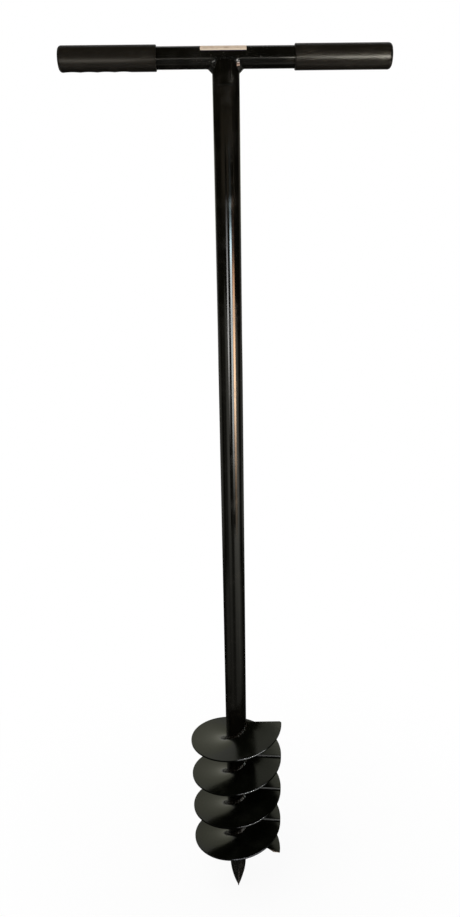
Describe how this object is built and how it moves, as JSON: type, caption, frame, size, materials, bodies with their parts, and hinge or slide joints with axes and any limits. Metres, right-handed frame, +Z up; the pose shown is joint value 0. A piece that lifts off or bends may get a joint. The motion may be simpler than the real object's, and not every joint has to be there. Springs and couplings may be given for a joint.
{
  "type": "hand earth auger",
  "caption": "Hand earth auger: a T-handle with sleeve grips on a long tube shaft, with right-handed helical flights above a forged pilot point.",
  "frame": {"origin": "tip of the pilot point, on the shaft's axis, at the foot of the whole tool", "axes": "+Z up the shaft from the point to the handle, +X along the handle, +Y across it"},
  "size_m": [0.4, 0.15, 1.3683],
  "materials": {
    "black_paint": "glossy black paint on steel",
    "weld_paint": "glossy black paint over rough weld metal",
    "grip_rubber": "dull black moulded sleeve",
    "point_steel": "black paint worn to brown steel on the ridges"
  },
  "bodies": {
    "root": {"flight_1": "black_paint", "flight_1_lower_weld": "weld_paint", "flight_1_upper_weld": "weld_paint", "flight_2": "black_paint", "flight_2_lower_weld": "weld_paint", "flight_2_upper_weld": "weld_paint", "flight_3": "black_paint", "flight_3_lower_weld": "weld_paint", "flight_3_upper_weld": "weld_paint", "flight_4": "black_paint", "flight_4_lower_weld": "weld_paint", "flight_4_upper_weld": "weld_paint", "handle_tube": "black_paint", "handle_weld": "weld_paint", "left_grip": "grip_rubber", "pilot_point": "point_steel", "point_weld": "weld_paint", "right_grip": "grip_rubber", "seam_weld_1": "weld_paint", "seam_weld_2": "weld_paint", "seam_weld_3": "weld_paint", "shaft_tube": "black_paint"}
  },
  "joints": []
}
